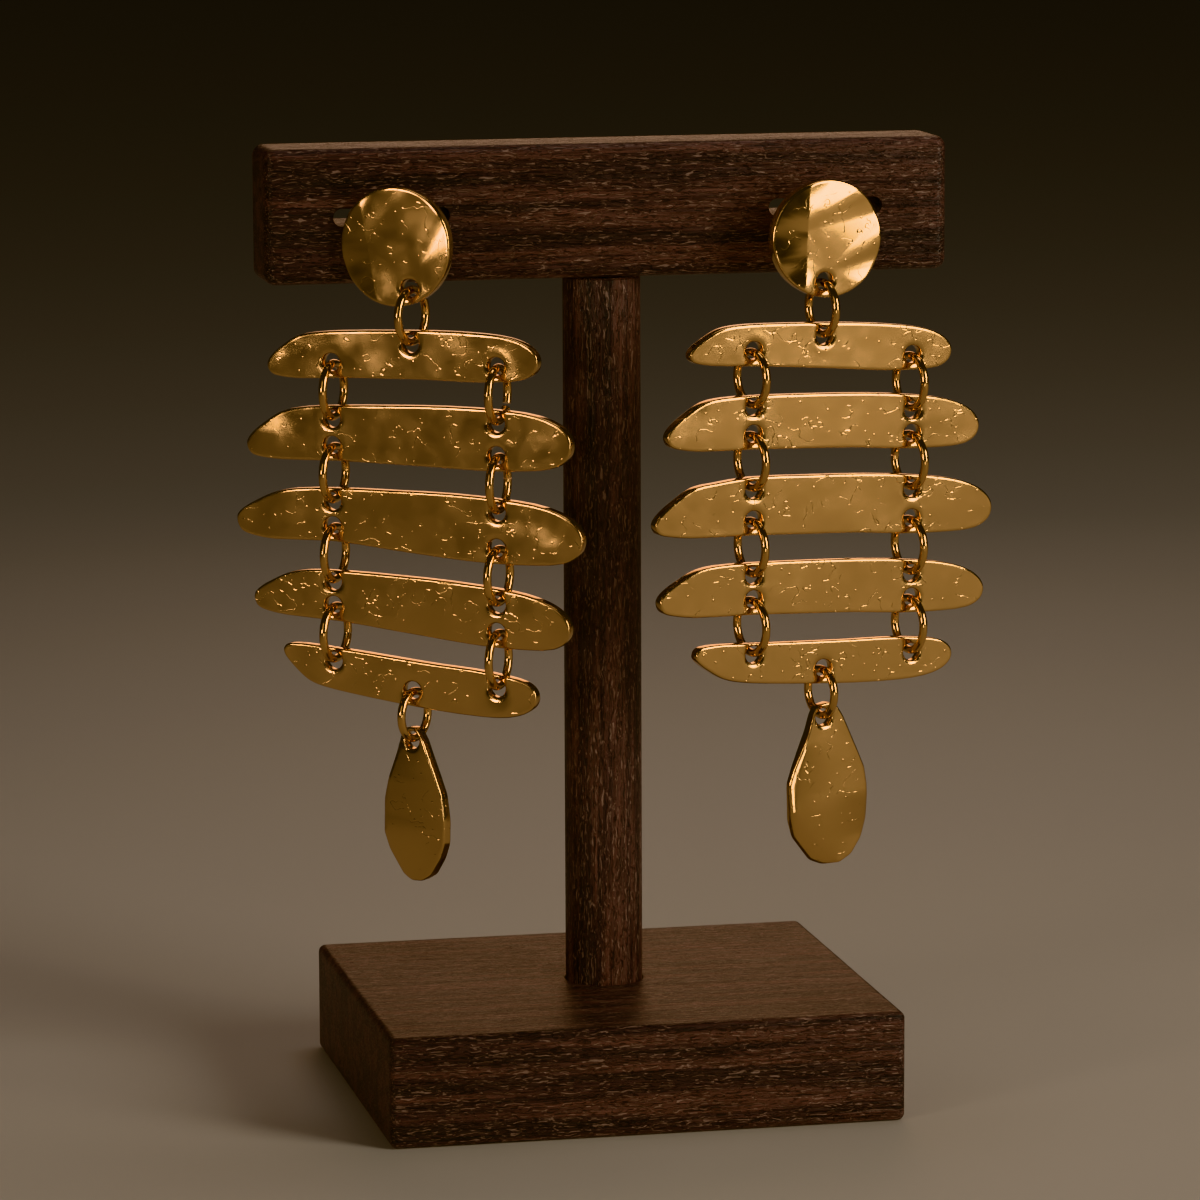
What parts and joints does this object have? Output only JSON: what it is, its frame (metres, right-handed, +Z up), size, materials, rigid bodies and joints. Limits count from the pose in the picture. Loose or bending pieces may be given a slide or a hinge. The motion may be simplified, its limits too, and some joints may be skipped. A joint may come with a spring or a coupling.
{
  "type": "pair of chandelier earrings on a T-bar stand",
  "caption": "Chandelier earrings of hammered gold plates: a round stud, a ladder of bars on jump rings and a pear-shaped drop, hung by their ear posts on a dark wooden T-bar stand.",
  "frame": {"origin": "middle of the underside of the stand's base, on the surface it stands on", "axes": "+Z up along the stand's post, +X along the crossbar to the viewer's right, -Y towards the viewer, so the earrings hang on the -Y side"},
  "size_m": [0.103, 0.059, 0.1301],
  "materials": {
    "dark_wood": "oiled wenge, satin, open pores",
    "gold_plate": "hammered sheet brass, gold-plated and polished",
    "gold_wire": "round drawn brass wire, gold-plated and polished"
  },
  "bodies": {
    "stand": {"stand_base": "dark_wood", "stand_post": "dark_wood", "stand_crossbar": "dark_wood", "left_stud": "gold_plate", "right_stud": "gold_plate"},
    "left_ladder": {"left_ring_top": "gold_wire", "left_bar_1": "gold_plate", "left_bar_2": "gold_plate", "left_bar_3": "gold_plate", "left_bar_4": "gold_plate", "left_bar_5": "gold_plate", "left_ring_1_left": "gold_wire", "left_ring_1_right": "gold_wire", "left_ring_2_left": "gold_wire", "left_ring_2_right": "gold_wire", "left_ring_3_left": "gold_wire", "left_ring_3_right": "gold_wire", "left_ring_4_left": "gold_wire", "left_ring_4_right": "gold_wire"},
    "left_pendant": {"left_ring_drop": "gold_wire", "left_drop": "gold_plate"},
    "right_ladder": {"right_ring_top": "gold_wire", "right_bar_1": "gold_plate", "right_bar_2": "gold_plate", "right_bar_3": "gold_plate", "right_bar_4": "gold_plate", "right_bar_5": "gold_plate", "right_ring_1_left": "gold_wire", "right_ring_1_right": "gold_wire", "right_ring_2_left": "gold_wire", "right_ring_2_right": "gold_wire", "right_ring_3_left": "gold_wire", "right_ring_3_right": "gold_wire", "right_ring_4_left": "gold_wire", "right_ring_4_right": "gold_wire"},
    "right_pendant": {"right_ring_drop": "gold_wire", "right_drop": "gold_plate"}
  },
  "joints": [
    {"name": "left_ladder_swing", "type": "hinge", "parent": "stand", "child": "left_ladder", "pos_m": [-0.02826, -0.01281, 0.10969], "axis": [-0.829, 0.5592, 0], "range_deg": [-22, 60]},
    {"name": "left_pendant_swing", "type": "hinge", "parent": "left_ladder", "child": "left_pendant", "pos_m": [-0.02837, -0.01273, 0.05612], "axis": [-0.829, 0.5592, 0], "range_deg": [-45, 45]},
    {"name": "right_ladder_swing", "type": "hinge", "parent": "stand", "child": "right_ladder", "pos_m": [0.02772, -0.01178, 0.10907], "axis": [-0.9703, -0.2419, 0], "range_deg": [-16, 60]},
    {"name": "right_pendant_swing", "type": "hinge", "parent": "right_ladder", "child": "right_pendant", "pos_m": [0.02766, -0.01179, 0.0567], "axis": [-0.9703, -0.2419, 0], "range_deg": [-45, 45]}
  ]
}
